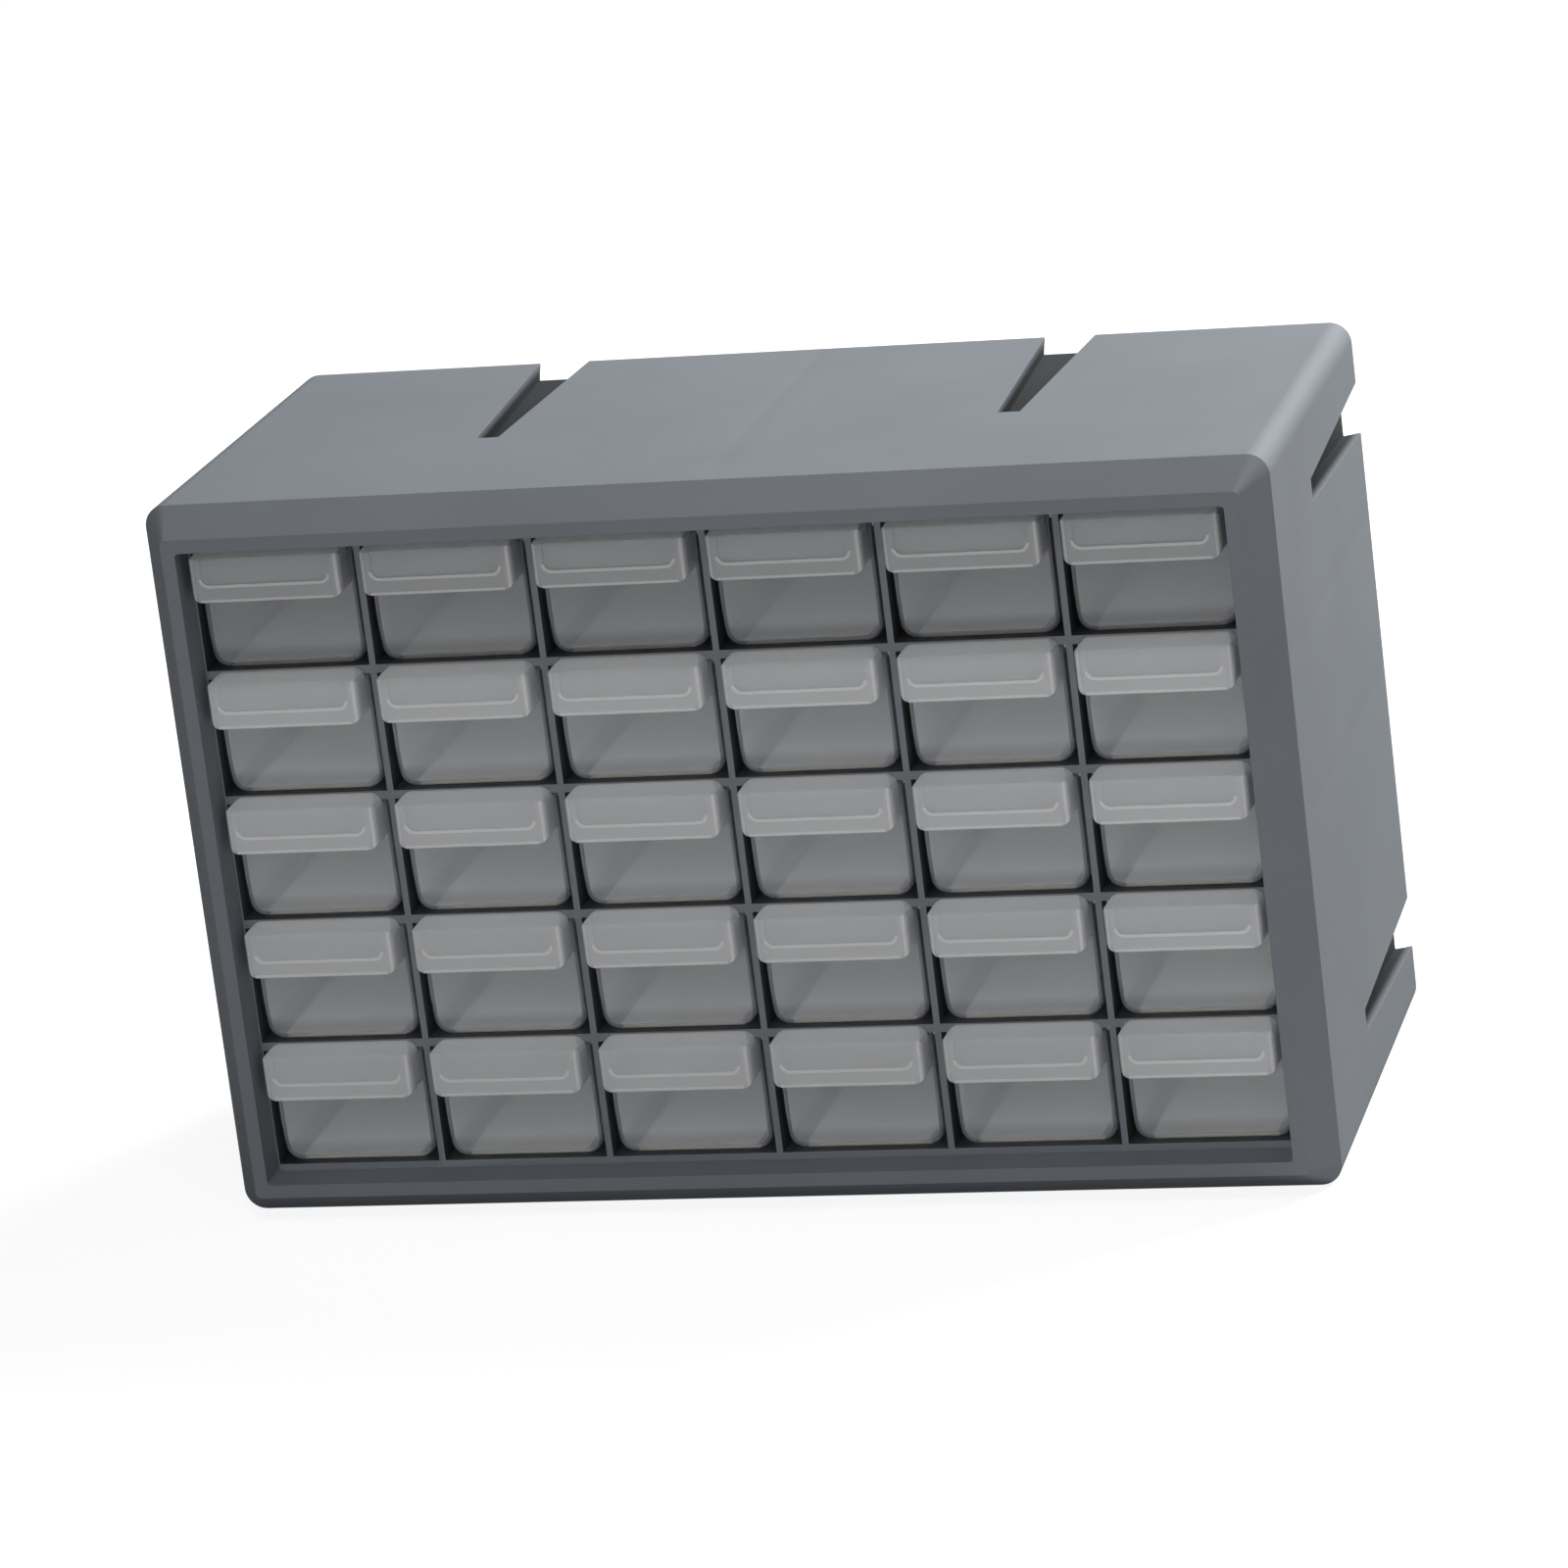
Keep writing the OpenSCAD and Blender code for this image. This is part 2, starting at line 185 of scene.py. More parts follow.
def soften(obj, width, over_degrees=25.0, smooth_degrees=40.0):
    """Rounds the sharp edges and evens the shading, as a mould's small radii do."""
    alone(obj)
    edge = obj.modifiers.new("edge", "BEVEL")
    edge.width = width
    edge.segments = 2
    edge.limit_method = "ANGLE"
    edge.angle_limit = math.radians(over_degrees)
    bpy.ops.object.modifier_apply(modifier=edge.name)
    bpy.ops.object.shade_smooth_by_angle(angle=math.radians(smooth_degrees))
    even = obj.modifiers.new("even", "WEIGHTED_NORMAL")
    even.keep_sharp = True
    bpy.ops.object.modifier_apply(modifier=even.name)


def settle(obj, x=0.0, z=0.0):
    """Brings a piece to its place across and up, and from mm to the metres of the frame."""
    alone(obj)
    obj.location = (x * 0.001, -BODY_D / 2 * 0.001, z * 0.001)
    obj.scale = (0.001, 0.001, 0.001)
    apply_place()
    return obj


casing = bridged("casing_shell", [
    (SKIN_FRONT, INNER_X + LINER / 2, INNER_LOW - LINER / 2, INNER_HIGH + LINER / 2, LINER_R),
    (SKIN_FRONT, BODY_W / 2 - SKIN, SKIN, BODY_H - SKIN, CORNER_R - SKIN),
    (BODY_D, BODY_W / 2 - SKIN - SIDE_LEAN, SKIN + TOP_LEAN, BODY_H - SKIN - TOP_LEAN, CORNER_R - SKIN),
    (BODY_D, BODY_W / 2 - SIDE_LEAN, TOP_LEAN, BODY_H - TOP_LEAN, CORNER_R),
    (SLOPE_D, BODY_W / 2, 0, BODY_H, CORNER_R),
    (0, BODY_W / 2 - SLOPE_IN, SLOPE_IN, BODY_H - SLOPE_IN, RING_OUTER_R),
    (0, INNER_X, INNER_LOW, INNER_HIGH, RING_INNER_R),
    (CAVITY_FRONT, INNER_X, INNER_LOW, INNER_HIGH, RING_INNER_R),
])


def slot_cutter(lip):
    """A coupling slot as a solid in the middle of the top: wider to the rear, and wider below its lip."""
    low, high = lip - SLOT_DEEP, lip + SLOT_CUT_ABOVE
    made = block("slot_cutter", (-SLOT_TIP / 2, SLOT_START, low), (SLOT_TIP / 2, SLOT_CUT_END, high))
    for side in (-1, 1):
        pick(made, "VERT", lambda i, p: p.y > SLOT_CUT_END - CLOSE and p.x * side > 0)
        widening = (SLOT_CUT_END - SLOT_START) * math.tan(SLOT_TAPER)
        bpy.ops.transform.translate(value=(side * widening, 0, 0))
        done()
        for end in (low, high):
            pick(made, "VERT", lambda i, p: abs(p.z - end) < CLOSE and p.x * side > 0)
            bpy.ops.transform.translate(value=(side * (lip - end) * math.tan(SLOT_UNDERCUT), 0, 0))
            done()
    return made


def on_its_wall(tool, across, turn):
    """Moves a tool from the middle of the top across it, and turns it round the casing to its own wall."""
    alone(tool)
    tool.location = (across, 0, 0)
    apply_place()
    tool.data.transform(Matrix.Translation((0, 0, BODY_H / 2)) @ Matrix.Rotation(turn, 4, "Y"))
    return tool


slot_places = []
for turn in (0.0, math.pi):
    slot_places += [(across, turn, BODY_H / 2 - TOP_LEAN) for across in (-TOP_SLOT_X, TOP_SLOT_X)]
for turn in (math.pi / 2, -math.pi / 2):
    slot_places += [(across, turn, BODY_W / 2 - SIDE_LEAN) for across in (-SIDE_SLOT_Z, SIDE_SLOT_Z)]
slot_half_w = SLOT_TIP / 2 + (BODY_D - SLOT_START) * math.tan(SLOT_TAPER) + SLOT_DEEP * math.tan(SLOT_UNDERCUT)
half_block = slot_half_w + SLOT_WALL
for across, turn, lip in slot_places:
    walls = block("slot_walls", (-half_block, SLOT_START - SLOT_WALL, lip - SLOT_DEEP - SLOT_WALL),
                  (half_block, SLOT_WALL_END, lip - SLOT_WALL_LOW))
    carve(casing, on_its_wall(walls, across, turn), "UNION")
for across, turn, lip in slot_places:
    carve(casing, on_its_wall(slot_cutter(lip), across, turn))
soften(casing, width=0.45)


class Sock:
    """A value in a shader, so that sums and products are written as Python expressions."""

    def __init__(self, tree, out=None):
        self.tree = tree
        self.out = out

    def add(self, kind, settings=None, inputs=None, out=0):
        """Any node: its settings are set first, then its sockets get their values or links."""
        node = self.tree.nodes.new(kind)
        for name, value in (settings or {}).items():
            setattr(node, name, value)
        for name, value in (inputs or {}).items():
            if isinstance(value, Sock):
                self.tree.links.new(value.out, node.inputs[name])
            else:
                node.inputs[name].default_value = value
        return Sock(self.tree, node.outputs[out] if node.outputs else None)

    def math(self, operation, *values):
        """A Math node on the values, in their order."""
        return self.add("ShaderNodeMath", {"operation": operation}, dict(enumerate(values)))

    def __add__(self, other):
        return self.math("ADD", self, other)

    def __radd__(self, other):
        return self.math("ADD", other, self)

    def __sub__(self, other):
        return self.math("SUBTRACT", self, other)

    def __rsub__(self, other):
        return self.math("SUBTRACT", other, self)

    def __mul__(self, other):
        return self.math("MULTIPLY", self, other)

    def __rmul__(self, other):
        return self.math("MULTIPLY", other, self)

    def __abs__(self):
        return self.math("ABSOLUTE", self)

    def ramp(self, low, high, at_low=0.0, at_high=1.0):
        """A smooth step from one value to another, as this one goes from low to high."""
        return self.add("ShaderNodeMapRange", {"interpolation_type": "SMOOTHSTEP"}, {
            "Value": self, "From Min": low, "From Max": high, "To Min": at_low, "To Max": at_high})

    def near(self, place, width):
        """1 where the value lies at the place, fading to 0 at a width on either side."""
        return abs(self - place).ramp(0.0, width, 1.0, 0.0)

    def blend(self, first, second, way="MIX"):
        """Two colours mixed by this value: they go into sockets 6 and 7 of the node, and come out of 2."""
        return self.add("ShaderNodeMix", {"data_type": "RGBA", "blend_type": way},
                        {0: self, 6: first, 7: second}, out=2)


def material(name):
    """An empty material, and a start for its shader."""
    made = bpy.data.materials.new(name)
    made.use_nodes = True
    made.node_tree.nodes.clear()
    return made, Sock(made.node_tree)


def along(point, axis):
    """How far a point lies along an axis, in mm as the pieces are drawn, with y from the front ring."""
    distance = point.add("ShaderNodeSeparateXYZ", inputs={"Vector": point}, out=axis) * 1000.0
    return distance + BODY_D / 2 if axis == "Y" else distance


GREY = (0.231, 0.254, 0.281, 1)
GREY_LIGHT = (0.250, 0.273, 0.302, 1)
# Painted shade for the slots: their faces darken with depth below the skin, fully at SHADE_DEEP mm down.
SLOT_SHADE = (0.004, 0.004, 0.006, 1)
SHADE_DEEP = 3.8
SINK_X = 3.0
SINK_Z = (125.0, 180.0)
SINK_W = 6.0
SINK_BUMP = 0.0004
CLOUD_BUMP = 0.0002
GRAIN_BUMP = 0.00002


def grey_plastic(name, dark, light, rough, painted_slot_shade=None):
    """Satin moulded plastic with a faint cloud, a fine grain, sink lines over the ribs, and, if given a shade
    colour, painted shade deepening into the slots.
    """
    made, start = material(name)
    point = start.add("ShaderNodeTexCoord", out="Object")
    x, y, z = (along(point, axis) for axis in "XYZ")
    cloud = start.add("ShaderNodeTexNoise", inputs={"Vector": point, "Scale": 14.0, "Detail": 3.0})
    grain = start.add("ShaderNodeTexNoise", inputs={"Vector": point, "Scale": 2200.0, "Detail": 2.0})
    colour = cloud.ramp(0.3, 0.7).blend(dark, light)
    # Painted shade: the deeper a point lies in a slot below the top or side skin, the nearer it goes to the
    # shade colour, a little less towards the rear.
    if painted_slot_shade:
        below_top = BODY_H / 2 - y * (TOP_LEAN / BODY_D) - abs(z - BODY_H / 2)
        below_side = BODY_W / 2 - y * (SIDE_LEAN / BODY_D) - abs(x)
        below = start.math("MINIMUM", below_top, below_side)
        shut = y.ramp(SLOT_START, BODY_D, 1.0, 0.9)
        colour = (below.ramp(0.0, SHADE_DEEP) * shut).blend(colour, painted_slot_shade)
    behind_slope = y.ramp(SLOPE_D + 3.5, SLOPE_D + 9.5)
    on_top = z.ramp(BODY_H - 6.0, BODY_H - 4.0)
    on_side = abs(x).ramp(BODY_W / 2 - 5.0, BODY_W / 2 - 3.0)
    sinks = x.near(SINK_X, SINK_W) * on_top
    for sink_z in SINK_Z:
        sinks = sinks + z.near(sink_z, SINK_W) * on_side
    height = grain * GRAIN_BUMP + cloud * CLOUD_BUMP - behind_slope * sinks * SINK_BUMP
    bump = start.add("ShaderNodeBump", inputs={"Height": height, "Strength": 0.35, "Distance": 1.0})
    shine = start.add("ShaderNodeBsdfPrincipled", inputs={
        "Base Color": colour, "Roughness": rough + 0.08 * cloud, "Normal": bump, "IOR": 1.5})
    start.add("ShaderNodeOutputMaterial", inputs={"Surface": shine})
    return made


def coat(obj, slot, test):
    """Gives the faces that pass the test the material in the slot."""
    pick(obj, "FACE", test)
    obj.active_material_index = slot
    bpy.ops.object.material_slot_assign()
    done()


def in_slot(i, p):
    below_top = BODY_H / 2 - abs(p.z - BODY_H / 2) - TOP_LEAN * p.y / BODY_D
    below_side = BODY_W / 2 - abs(p.x) - SIDE_LEAN * p.y / BODY_D
    in_top = abs(abs(p.x) - TOP_SLOT_X) < half_block and SLOT_RIM < below_top < SLOT_DEEP + 1
    in_side = abs(abs(p.z - BODY_H / 2) - SIDE_SLOT_Z) < half_block and SLOT_RIM < below_side < SLOT_DEEP + 1
    return p.y > SLOT_START - 0.5 and (in_top or in_side)


casing_plastic = grey_plastic("casing_plastic", GREY, GREY_LIGHT, rough=0.64)
casing.data.materials.append(casing_plastic)
# The slots' faces take the copy with painted shade.
casing.data.materials.append(grey_plastic("slot_plastic", GREY, GREY_LIGHT, rough=0.75, painted_slot_shade=SLOT_SHADE))
coat(casing, 1, in_slot)
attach(settle(casing), "casing")
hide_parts("front_frame", "top_skin", "bottom_skin", "left_skin", "right_skin")


# The grid: thirty cells with their shelves, dividers, inner walls and back, of the same grey moulding, with
# painted shade inside the cells.
# One cell is shaped and repeated in rows and columns, then walled round. Two keyholes through the back
# take the heads of screws, for hanging the cabinet on a wall.
ROWS = 5
COLS = 6
COL_PITCH = 59.1
ROW_PITCH = 44.0
RECESS = 13.5
DIVIDER = 2.2
SHELF = 2.9
FLOOR = INNER_LOW + 2.45
BACK_Y = 172.5
BACK_T = 2.5
KEYHOLE_D = 9.0
KEYHOLE_SLOT = 4.5
KEYHOLE_RISE = 20.0
KEYHOLE_REACH = 9.0
KEYHOLE_CUT = 5.0
GRID_GREY = (0.218, 0.238, 0.266, 1)
GRID_GREY_LIGHT = (0.235, 0.256, 0.284, 1)
# Painted shade: the faces inside the cells are near black, standing for the deep shade behind the drawers.
CELL_SHADE = (0.050, 0.054, 0.060, 1)
CELL_SHADE_LIGHT = (0.065, 0.069, 0.075, 1)


def column_x(c):
    return (c - (COLS + 1) / 2) * COL_PITCH


def shelf_z(r):
    return FLOOR + (ROWS - r) * ROW_PITCH


edge_x = COLS * COL_PITCH / 2
edge_low = FLOOR - SHELF
edge_high = edge_low + ROWS * ROW_PITCH
edge_middle = (edge_low + edge_high) / 2

bpy.ops.object.select_all(action="DESELECT")
bpy.ops.mesh.primitive_plane_add(size=1, location=(column_x(1), RECESS, edge_low + ROW_PITCH / 2),
                                 rotation=(math.pi / 2, 0, 0))
grid = bpy.context.object
grid.name = "casing_grid"
grid.scale = (COL_PITCH, ROW_PITCH, 1)
apply_place()
pick(grid, "FACE", everything)
bpy.ops.mesh.inset(thickness=DIVIDER / 2)
bpy.ops.transform.resize(value=(1, 1, (ROW_PITCH - SHELF) / (ROW_PITCH - DIVIDER)))
bpy.ops.transform.translate(value=(0, 0, SHELF / 2))
bpy.ops.mesh.extrude_region_move(TRANSFORM_OT_translate={"value": (0, BACK_Y - RECESS, 0)})
done()
alone(grid)
for count, step in ((COLS, (COL_PITCH, 0, 0)), (ROWS, (0, 0, ROW_PITCH))):
    again = grid.modifiers.new("again", "ARRAY")
    again.count = count
    again.use_relative_offset = False
    again.use_constant_offset = True
    again.constant_offset_displace = step
    again.use_merge_vertices = True
    again.merge_threshold = 0.01
    bpy.ops.object.modifier_apply(modifier=again.name)


def on_rim(i, p):
    at_side = abs(abs(p.x) - edge_x) < CLOSE
    at_end = abs(abs(p.z - edge_middle) - (edge_high - edge_middle)) < CLOSE
    return abs(p.y - RECESS) < CLOSE and (at_side or at_end)


outer_x = INNER_X + LINER
outer_h = INNER_HIGH - INNER_LOW + 2 * LINER
pick(grid, "EDGE", on_rim)
bpy.ops.mesh.extrude_region_move(TRANSFORM_OT_translate={"value": (0, 0, 0)})
bpy.ops.transform.resize(value=(outer_x / edge_x, 1, outer_h / (edge_high - edge_low)),
                         center_override=(0, 0, edge_middle))
bpy.ops.transform.translate(value=(0, 0, (INNER_LOW + INNER_HIGH) / 2 - edge_middle))
bpy.ops.mesh.extrude_region_move(TRANSFORM_OT_translate={"value": (0, BACK_Y + BACK_T - RECESS, 0)})
bpy.ops.mesh.edge_face_add()
bpy.ops.mesh.select_all(action="SELECT")
bpy.ops.mesh.normals_make_consistent(inside=False)
done()

head_z = shelf_z(1) + KEYHOLE_RISE
shank_z = head_z + KEYHOLE_REACH - KEYHOLE_SLOT / 2
for c in (1, COLS):
    for z, diameter, sides in ((head_z, KEYHOLE_D, 48), (shank_z, KEYHOLE_SLOT, 32)):
        bpy.ops.object.select_all(action="DESELECT")
        bpy.ops.mesh.primitive_cylinder_add(vertices=sides, radius=diameter / 2, depth=2 * KEYHOLE_CUT,
                                            location=(column_x(c), BACK_Y, z), rotation=(math.pi / 2, 0, 0))
        hole = bpy.context.object
        apply_place()
        carve(grid, hole)
    carve(grid, block("keyhole_neck", (column_x(c) - KEYHOLE_SLOT / 2, BACK_Y - KEYHOLE_CUT, head_z),
                      (column_x(c) + KEYHOLE_SLOT / 2, BACK_Y + KEYHOLE_CUT, shank_z)))
soften(grid, width=0.4)


def in_cell(i, p):
    return RECESS + 1.0 < p.y < BACK_Y + 1.0 and abs(p.x) < INNER_X and INNER_LOW < p.z < INNER_HIGH


grid.data.materials.append(grey_plastic("grid_plastic", GRID_GREY, GRID_GREY_LIGHT, rough=0.5))
grid.data.materials.append(grey_plastic("cell_painted_shade", CELL_SHADE, CELL_SHADE_LIGHT, rough=0.55))
# The faces inside the cells take the near-black painted shade.
coat(grid, 1, in_cell)
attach(settle(grid), "casing")
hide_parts("back_wall", "floor_plate", "ceiling_plate", "top_liner", "bottom_liner", "left_liner",
            "right_liner", *[f"shelf_{i}" for i in range(1, ROWS)], *[f"divider_{j}" for j in range(1, COLS)])


# The ribs of the double wall, seen only from behind, and the two runners the cabinet stands on.
# All are webs of the same grey moulding, between the skin and the inner walls or under the base.
RIB = 2.0
RIB_END = BACK_Y - 0.5
SIDE_RIB_PITCH = 55.0
RUNNER_X = 150.0
RUNNER_W = 6.0
RUNNER_START = 27.0

webs = []
for in_liner, in_skin in ((INNER_HIGH + LINER / 2, BODY_H - TOP_LEAN - SKIN / 2),
                          (INNER_LOW - LINER / 2, TOP_LEAN + SKIN / 2)):
    low, high = sorted((in_liner, in_skin))
    webs.append(block("rib", (-RIB / 2, CAVITY_FRONT, low), (RIB / 2, RIB_END, high)))
for side in (-1, 1):
    left, right = sorted((side * (INNER_X + LINER / 2), side * (BODY_W / 2 - SIDE_LEAN - SKIN / 2)))
    for n in (-1, 0, 1):
        z = BODY_H / 2 + n * SIDE_RIB_PITCH
        webs.append(block("rib", (left, CAVITY_FRONT, z - RIB / 2), (right, RIB_END, z + RIB / 2)))
ribs = joined(*webs)
ribs.name = "casing_ribs"
soften(ribs, width=0.3)
ribs.data.materials.append(casing_plastic)
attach(settle(ribs), "casing")

runners = joined(*[block("runner", (side * RUNNER_X - RUNNER_W / 2, RUNNER_START, 0),
                         (side * RUNNER_X + RUNNER_W / 2, BACK_Y, TOP_LEAN + SKIN / 2)) for side in (-1, 1)])
runners.name = "casing_runners"
soften(runners, width=0.5)
runners.data.materials.append(casing_plastic)
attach(settle(runners), "casing")


# The thirty drawers: each is one moulding in milky, see-through polypropylene, with a tray, a guide rim,
# a stop lip and a hooded pull with closed ends, a label recess over a ledge, and a bead along its foot.
# One is shaped at the middle of the front and copied to every cell, where it slides on the shelf.
TRAY_W = 53.2
TRAY_L = 150.0
TRAY_LOW = 0.3
TRAY_TOP = 39.9
TRAY_T = 1.4
TRAY_R = 5.5
TOE = 1.6
RIM_H = 1.4
RIM_OUT = 1.4
RIM_IN = 0.7
RIM_START = 2.8
FACE_Y = RECESS + 2.5
INSIDE_Y = FACE_Y + TRAY_T
LIP_Y = RECESS - 0.3
CROWN_Y = LIP_Y - TRAY_T
PULL_W = 52.6
PULL_Y = RECESS - 10.5
PULL_LOW = 27.0
PULL_TOP = 43.6
PULL_TOP_R = 4.0
PULL_LOW_R = 3.4
PULL_PLAN_R = 3.0
HOLLOW_R = 1.6
FOLD_Z = 41.6
LABEL_W = 43.6
LABEL_Z = 32.9
LABEL_R = 2.5
LABEL_DEEP = 0.6
LEDGE_W = 1.0
LEDGE_H = 2.2
LEDGE_PROUD = 0.35
LEDGE_BACK = 0.3
BEAD_IN = 3.2
BEAD_H = 0.9
BEAD_BACK = 2.1
BEAD_PROUD = 0.3
# Where the painted highlight line near each end of the pull lies, in mm in from the end.
END_HIGHLIGHT_LINE = (0.9, 1.8)
# Painted shade along a drawer's foot: full below the first height above the shelf, gone at the second, in mm.
FOOT_SHADE_START = 3.5
FOOT_SHADE_END = 8.5
# A cutter reaches this far past what it cuts, and an edge further out than this is at a side.
PAST = 5.0
OUTER = 20.0

tray = block("tray", (-TRAY_W / 2, FACE_Y, TRAY_LOW), (TRAY_W / 2, FACE_Y + TRAY_L, TRAY_TOP))
pick(tray, "EDGE", lambda i, p: abs(p.z - TRAY_LOW) < CLOSE and abs(p.x) > OUTER)
bpy.ops.mesh.bevel(offset=TRAY_R, segments=8)
pick(tray, "EDGE", lambda i, p: p.y < FACE_Y + CLOSE and p.z < TRAY_LOW + TRAY_R)
bpy.ops.mesh.bevel(offset=TOE, segments=3)
pick(tray, "FACE", lambda i, p: p.z > TRAY_TOP - CLOSE)
bpy.ops.mesh.delete(type="FACE")
done()
alone(tray)
wall = tray.modifiers.new("wall", "SOLIDIFY")
wall.thickness = TRAY_T
wall.offset = -1
wall.use_even_offset = True
bpy.ops.object.modifier_apply(modifier=wall.name)
rim = block("rim", (-TRAY_W / 2 - RIM_OUT, FACE_Y + RIM_START, TRAY_TOP - RIM_H),
            (TRAY_W / 2 + RIM_OUT, FACE_Y + TRAY_L, TRAY_TOP))
carve(rim, block("rim_hole", (-TRAY_W / 2 + RIM_IN, FACE_Y - PAST, TRAY_TOP - RIM_H - PAST),
                 (TRAY_W / 2 - RIM_IN, FACE_Y + TRAY_L - RIM_IN, TRAY_TOP + PAST)))
carve(tray, rim, "UNION")


def hood_solid(name, half_w, front, rear, low, top, fold, step_y, step_z):
    """A box that slopes up from the fold to its crown, and is cut down behind the crown to a step."""
    made = block(name, (-half_w, front, low), (half_w, rear, top))
    carve(made, block("step", (-half_w - PAST, step_y, step_z), (half_w + PAST, rear + PAST, top + PAST)))
    slope_normal = Vector((0, fold - top, CROWN_Y - front)).normalized()
    pick(made, "FACE", everything)
    bpy.ops.mesh.bisect(plane_co=(0, front, fold), plane_no=slope_normal, use_fill=True, clear_outer=True)
    bpy.ops.mesh.select_all(action="SELECT")
    bpy.ops.mesh.normals_make_consistent(inside=False)
    done()
    return made


pitch = (PULL_TOP - FOLD_Z) / (CROWN_Y - PULL_Y)
under = TRAY_T * math.hypot(1, pitch)
hood = hood_solid("hood", PULL_W / 2, PULL_Y, INSIDE_Y, PULL_LOW, PULL_TOP, FOLD_Z, LIP_Y, TRAY_TOP)
hood_front = block("hood_front", (-PULL_W / 2, PULL_Y - PAST, PULL_LOW),
                   (PULL_W / 2, INSIDE_Y + PAST, PULL_TOP))
middle_y = (PULL_Y + INSIDE_Y) / 2
for height, radius in ((PULL_TOP, PULL_TOP_R), (PULL_LOW, PULL_LOW_R)):
    pick(hood_front, "EDGE",
         lambda i, p: abs(p.z - height) < CLOSE and abs(p.x) > OUTER and abs(p.y - middle_y) < CLOSE)
    bpy.ops.mesh.bevel(offset=radius, segments=8)
    done()
carve(hood, hood_front, "INTERSECT")
hood_plan = block("hood_plan", (-PULL_W / 2, PULL_Y, PULL_LOW - PAST),
                  (PULL_W / 2, INSIDE_Y + PAST, PULL_TOP + PAST))
pick(hood_plan, "EDGE", lambda i, p: p.y < PULL_Y + CLOSE and abs(p.x) > OUTER)
bpy.ops.mesh.bevel(offset=PULL_PLAN_R, segments=8)
done()
carve(hood, hood_plan, "INTERSECT")
hollow = hood_solid("hollow", PULL_W / 2 - TRAY_T, PULL_Y + TRAY_T, INSIDE_Y + PAST, PULL_LOW - PAST,
                    PULL_TOP - under, FOLD_Z + TRAY_T * pitch - under, CROWN_Y, TRAY_TOP - TRAY_T)
pick(hollow, "EDGE", lambda i, p: p.y < PULL_Y + TRAY_T + CLOSE and abs(p.x) > OUTER)
bpy.ops.mesh.bevel(offset=HOLLOW_R, segments=6)
done()
carve(hood, hollow)


def label_shape(name, out, front, back, top):
    """The label recess, out by so much all round, as a solid with rounded lower corners."""
    made = block(name, (-LABEL_W / 2 - out, front, LABEL_Z - out), (LABEL_W / 2 + out, back, top))
    pick(made, "EDGE", lambda i, p: p.z < LABEL_Z - out + CLOSE and abs(p.x) > OUTER)
    bpy.ops.mesh.bevel(offset=LABEL_R + out, segments=6)
    done()
    return made


carve(hood, label_shape("label", 0.0, PULL_Y - PAST, PULL_Y + LABEL_DEEP, FOLD_Z + PAST))
ledge = label_shape("ledge", LEDGE_W, PULL_Y - LEDGE_PROUD, PULL_Y + LEDGE_BACK, LABEL_Z + LEDGE_H)
carve(ledge, label_shape("ledge_hole", 0.0, PULL_Y - PAST, PULL_Y + LEDGE_BACK, FOLD_Z + PAST))
carve(hood, ledge, "UNION")
bead = block("bead", (-PULL_W / 2 + BEAD_IN, PULL_Y - BEAD_PROUD, PULL_LOW),
             (PULL_W / 2 - BEAD_IN, PULL_Y + BEAD_BACK, PULL_LOW + BEAD_H))
carve(hood, bead, "UNION")
carve(tray, hood, "UNION")
soften(tray, width=0.22, over_degrees=30.0, smooth_degrees=45.0)


def frosted_plastic(name, colour, rough, clear, milky=0.0, top_row_shade=0.74, foot=None):
    """Milky polypropylene: the clear share of the light passes, blurred, and the milky share spreads inside.

    The top row's colour is multiplied by a factor, as painted shade under the frame, and the lowest few mm of a
    drawer take the foot colour, as painted shade along its foot.
    """
    made, start = material(name)
    point = start.add("ShaderNodeTexCoord", out="Object")
    z = along(point, "Z")
    cloud = start.add("ShaderNodeTexNoise", inputs={"Vector": point, "Scale": 60.0, "Detail": 2.0})
    ripple = start.add("ShaderNodeTexNoise", inputs={"Vector": point, "Scale": 180.0, "Detail": 1.0})
    tint = colour
    # Painted shade: the drawer's foot is darker, fading out a few mm above its shelf.
    if foot:
        above_shelf = start.math("MODULO", z - FLOOR, ROW_PITCH)
        tint = above_shelf.ramp(FOOT_SHADE_START, FOOT_SHADE_END).blend(foot, colour)
    # Painted shade: the drawers of the top row are darker, as shade under the frame.
    in_top_row = z.ramp(shelf_z(1) - 5.75, shelf_z(1) + 2.25)
    tint = in_top_row.blend(tint, (top_row_shade, top_row_shade, top_row_shade, 1), "MULTIPLY")
    bump = start.add("ShaderNodeBump", inputs={"Height": ripple * 0.0003, "Strength": 0.3, "Distance": 1.0})
    shine = start.add("ShaderNodeBsdfPrincipled", inputs={
        "Base Color": tint, "Roughness": rough + 0.08 * cloud, "Normal": bump, "IOR": 1.49,
        "Transmission Weight": clear, "Subsurface Weight": milky, "Subsurface Radius": (1, 1, 1),
        "Subsurface Scale": 0.005})
    passing = start.add("ShaderNodeBsdfTransparent", inputs={"Color": (0.94, 0.94, 0.94, 1)})
    shadow_ray = start.add("ShaderNodeLightPath", out="Is Shadow Ray")
    both = start.add("ShaderNodeMixShader", inputs={0: shadow_ray, 1: shine, 2: passing})
    start.add("ShaderNodeOutputMaterial", inputs={"Surface": both})
    return made


def on_front(i, p):
    return p.y < INSIDE_Y + CLOSE and p.z < TRAY_TOP - RIM_H - CLOSE


def on_wall(i, p):
    return p.y > INSIDE_Y + CLOSE and abs(p.x) > TRAY_W / 2 - TRAY_R and p.z < TRAY_TOP - RIM_H - CLOSE


def on_corner(i, p):
    return on_wall(i, p) and p.z < TRAY_LOW + TRAY_R + 1.0


def on_pull(i, p):
    return p.y < FACE_Y - 0.2 and p.z > PULL_LOW - 0.2


